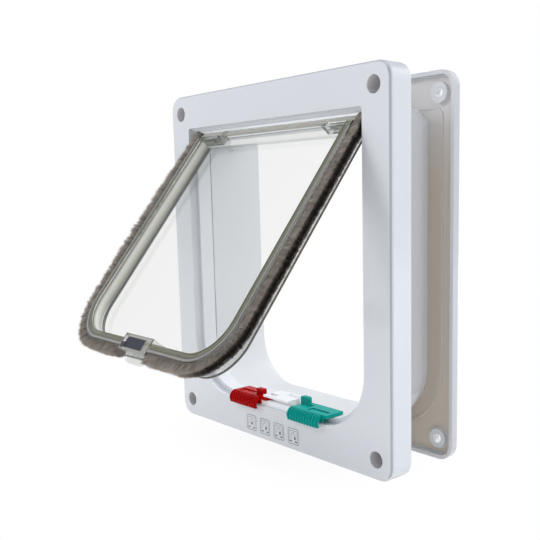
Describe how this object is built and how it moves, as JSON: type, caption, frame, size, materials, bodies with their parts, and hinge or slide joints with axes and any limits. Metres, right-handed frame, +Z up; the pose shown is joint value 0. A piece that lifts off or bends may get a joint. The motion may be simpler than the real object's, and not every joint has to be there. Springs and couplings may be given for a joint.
{
  "type": "four-way locking cat flap",
  "caption": "Locking cat flap for a door: two frames joined by a telescoping tunnel, a clear swinging flap with pile seal and magnet, and red and green lock sliders.",
  "frame": {"origin": "middle of the interior frame's four screw holes, on the face that lies on the door", "axes": "+X to the right as seen in the room, +Y through the door to the outside, +Z up"},
  "size_m": [0.23, 0.1712, 0.25],
  "materials": {
    "white_frame": "gloss",
    "clear_flap": "clear, slightly smoky",
    "pile": "brushed pile",
    "backing": "woven",
    "magnet": "satin",
    "pin": "smooth",
    "red": "gloss",
    "green": "gloss"
  },
  "bodies": {
    "interior_body": {"interior_frame": "white_frame", "lock_rail": "white_frame", "magnet_cover": "white_frame", "frame_magnet": "magnet"},
    "exterior_body": {"exterior_frame": "white_frame"},
    "flap_body": {"flap_panel": "clear_flap", "left_pile_seal": "pile", "right_pile_seal": "pile", "left_seal_backing": "backing", "right_seal_backing": "backing", "flap_magnet": "magnet", "left_hinge_pin": "pin", "right_hinge_pin": "pin"},
    "red_body": {"red_slider": "red"},
    "green_body": {"green_slider": "green"}
  },
  "joints": [
    {"name": "flap_swing", "type": "hinge", "parent": "interior_body", "child": "flap_body", "pos_m": [0, -0.0079, 0.0915], "axis": [1, 0, 0], "range_deg": [-41.6, 98.4]},
    {"name": "red_slide", "type": "slide", "parent": "interior_body", "child": "red_body", "axis": [1, 0, 0], "range_m": [0, 0.0135]},
    {"name": "green_slide", "type": "slide", "parent": "interior_body", "child": "green_body", "axis": [-1, 0, 0], "range_m": [0, 0.015]},
    {"name": "frame_telescope", "type": "slide", "parent": "interior_body", "child": "exterior_body", "axis": [0, 1, 0], "range_m": [0, 0.015]}
  ]
}
